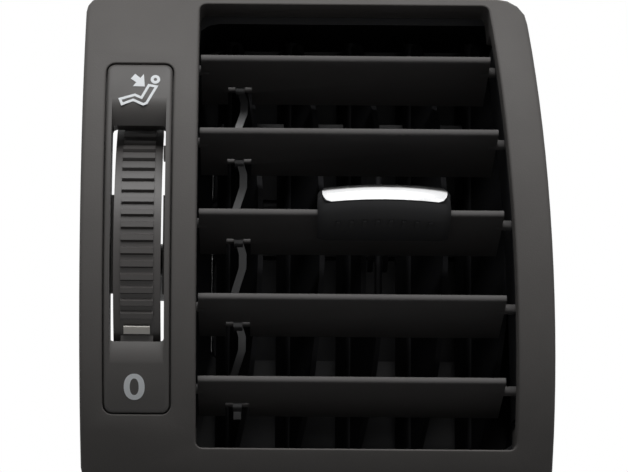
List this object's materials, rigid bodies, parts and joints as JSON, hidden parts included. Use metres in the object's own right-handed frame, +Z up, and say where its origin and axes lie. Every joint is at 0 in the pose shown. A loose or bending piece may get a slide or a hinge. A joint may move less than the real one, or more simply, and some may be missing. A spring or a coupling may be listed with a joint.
{
  "type": "dashboard air vent",
  "caption": "Barrel-faced dashboard air vent with tilting horizontal vanes, a slider knob that swings vertical vanes, and a ribbed thumbwheel that opens shutter flaps.",
  "frame": {"origin": "on the rear rim of the bezel's left side wall, at the height of the barrel's axis; the rim's plane seats on the dashboard", "axes": "+X to the viewer's right, +Y into the dashboard along the duct, +Z up"},
  "size_m": [0.1235, 0.111, 0.1304],
  "materials": {
    "bezel_plastic": "fine grained moulding",
    "surround_plastic": "smooth satin moulding",
    "wheel_plastic": "satin moulding",
    "marker_white": "matte",
    "zinc_steel": "zinc plated",
    "duct_plastic": "satin moulding",
    "vane_plastic": "satin moulding",
    "link_plastic": "satin natural moulding",
    "knob_soft_black": "soft touch",
    "bright_trim": "satin chrome",
    "blade_plastic": "satin moulding",
    "foam_gray": "open cell foam"
  },
  "bodies": {
    "root": {"bezel": "bezel_plastic", "housing": "duct_plastic", "control_surround": "surround_plastic", "wheel_axle": "zinc_steel", "bearing_strip_left": "duct_plastic", "bearing_strip_right": "duct_plastic", "duct_seal": "foam_gray", "bezel_screw_1": "zinc_steel", "bezel_screw_2": "zinc_steel", "bezel_screw_3": "zinc_steel"},
    "vane_1": {"horizontal_vane_1": "vane_plastic"},
    "vane_2": {"horizontal_vane_2": "vane_plastic"},
    "vane_3": {"horizontal_vane_3": "vane_plastic"},
    "vane_4": {"horizontal_vane_4": "vane_plastic"},
    "vane_5": {"horizontal_vane_5": "vane_plastic"},
    "vane_link_bar": {"vane_link": "link_plastic"},
    "knob": {"knob_body": "knob_soft_black", "knob_trim": "bright_trim", "knob_fork": "link_plastic"},
    "blade_1": {"vertical_vane_1": "blade_plastic"},
    "blade_2": {"vertical_vane_2": "blade_plastic"},
    "blade_3": {"vertical_vane_3": "blade_plastic"},
    "blade_4": {"vertical_vane_4": "blade_plastic"},
    "blade_5": {"vertical_vane_5": "blade_plastic"},
    "blade_link_bar": {"vertical_vane_link": "link_plastic"},
    "wheel": {"thumbwheel": "wheel_plastic", "thumbwheel_marker": "marker_white"},
    "flap_upper": {"shutter_flap_upper": "duct_plastic", "shutter_foam_upper": "foam_gray"},
    "flap_lower": {"shutter_flap_lower": "duct_plastic", "shutter_foam_lower": "foam_gray"},
    "flap_rod": {"shutter_link": "link_plastic"},
    "wheel_rod": {"thumbwheel_link": "link_plastic"}
  },
  "joints": [
    {"name": "vane_3_tilt", "type": "hinge", "parent": "root", "child": "vane_3", "pos_m": [0.0698, -0.01957, -0.00207], "axis": [-1, 0, 0], "range_deg": [-50, 20]},
    {"name": "vane_1_tilt", "type": "hinge", "parent": "root", "child": "vane_1", "pos_m": [0.0698, -0.01029, 0.04051], "axis": [-1, 0, 0], "range_deg": [-50, 20]},
    {"name": "vane_2_tilt", "type": "hinge", "parent": "root", "child": "vane_2", "pos_m": [0.0698, -0.01722, 0.01972], "axis": [-1, 0, 0], "range_deg": [-50, 20]},
    {"name": "vane_4_tilt", "type": "hinge", "parent": "root", "child": "vane_4", "pos_m": [0.0698, -0.01722, -0.02386], "axis": [-1, 0, 0], "range_deg": [-50, 20]},
    {"name": "vane_5_tilt", "type": "hinge", "parent": "root", "child": "vane_5", "pos_m": [0.0698, -0.01029, -0.04466], "axis": [-1, 0, 0], "range_deg": [-50, 20]},
    {"name": "vane_link_swing", "type": "hinge", "parent": "vane_3", "child": "vane_link_bar", "pos_m": [0.0396, -0.00846, -0.00505], "axis": [-1, 0, 0], "range_deg": [-20, 50]},
    {"name": "knob_slide", "type": "slide", "parent": "vane_3", "child": "knob", "axis": [1, 0, 0], "range_m": [-0.0145, 0.0009]},
    {"name": "blade_1_swing", "type": "hinge", "parent": "root", "child": "blade_1", "pos_m": [0.0373, 0.02573, 0], "axis": [0, 0, 1], "range_deg": [-45, 3]},
    {"name": "blade_2_swing", "type": "hinge", "parent": "root", "child": "blade_2", "pos_m": [0.0539, 0.02573, 0], "axis": [0, 0, 1], "range_deg": [-45, 3]},
    {"name": "blade_3_swing", "type": "hinge", "parent": "root", "child": "blade_3", "pos_m": [0.0705, 0.02573, 0], "axis": [0, 0, 1], "range_deg": [-45, 3]},
    {"name": "blade_4_swing", "type": "hinge", "parent": "root", "child": "blade_4", "pos_m": [0.0871, 0.02573, 0], "axis": [0, 0, 1], "range_deg": [-45, 3]},
    {"name": "blade_5_swing", "type": "hinge", "parent": "root", "child": "blade_5", "pos_m": [0.1037, 0.02573, 0], "axis": [0, 0, 1], "range_deg": [-45, 3]},
    {"name": "blade_link_swing", "type": "hinge", "parent": "blade_1", "child": "blade_link_bar", "pos_m": [0.03486, 0.03208, 0.033], "axis": [0, 0, 1], "range_deg": [-3, 45]},
    {"name": "thumbwheel_turn", "type": "hinge", "parent": "root", "child": "wheel", "pos_m": [0.01355, 0.007, -0.0083], "axis": [-1, 0, 0], "range_deg": [0, 85]},
    {"name": "flap_upper_turn", "type": "hinge", "parent": "root", "child": "flap_upper", "pos_m": [0.0698, 0.051, 0.0136], "axis": [-1, 0, 0], "range_deg": [0, 85]},
    {"name": "flap_lower_turn", "type": "hinge", "parent": "root", "child": "flap_lower", "pos_m": [0.0698, 0.051, -0.0164], "axis": [-1, 0, 0], "range_deg": [0, 85]},
    {"name": "shutter_link_swing", "type": "hinge", "parent": "flap_upper", "child": "flap_rod", "pos_m": [0.02855, 0.05837, 0.02036], "axis": [-1, 0, 0], "range_deg": [-85, 0]},
    {"name": "thumbwheel_link_swing", "type": "hinge", "parent": "wheel", "child": "wheel_rod", "pos_m": [0.0234, 0.02183, -0.01429], "axis": [-1, 0, 0], "range_deg": [-85, 0]}
  ],
  "couplings": [
    {"joint": "vane_1_tilt", "follows": "vane_3_tilt", "ratio": 1},
    {"joint": "vane_2_tilt", "follows": "vane_3_tilt", "ratio": 1},
    {"joint": "vane_4_tilt", "follows": "vane_3_tilt", "ratio": 1},
    {"joint": "vane_5_tilt", "follows": "vane_3_tilt", "ratio": 1},
    {"joint": "vane_link_swing", "follows": "vane_3_tilt", "ratio": -1},
    {"joint": "blade_1_swing", "follows": "knob_slide", "rad_per_m": 54},
    {"joint": "blade_2_swing", "follows": "knob_slide", "rad_per_m": 54},
    {"joint": "blade_3_swing", "follows": "knob_slide", "rad_per_m": 54},
    {"joint": "blade_4_swing", "follows": "knob_slide", "rad_per_m": 54},
    {"joint": "blade_5_swing", "follows": "knob_slide", "rad_per_m": 54},
    {"joint": "blade_link_swing", "follows": "knob_slide", "rad_per_m": -54},
    {"joint": "flap_upper_turn", "follows": "thumbwheel_turn", "ratio": 1},
    {"joint": "flap_lower_turn", "follows": "thumbwheel_turn", "ratio": 1},
    {"joint": "shutter_link_swing", "follows": "thumbwheel_turn", "ratio": -1},
    {"joint": "thumbwheel_link_swing", "follows": "thumbwheel_turn", "ratio": -1}
  ]
}
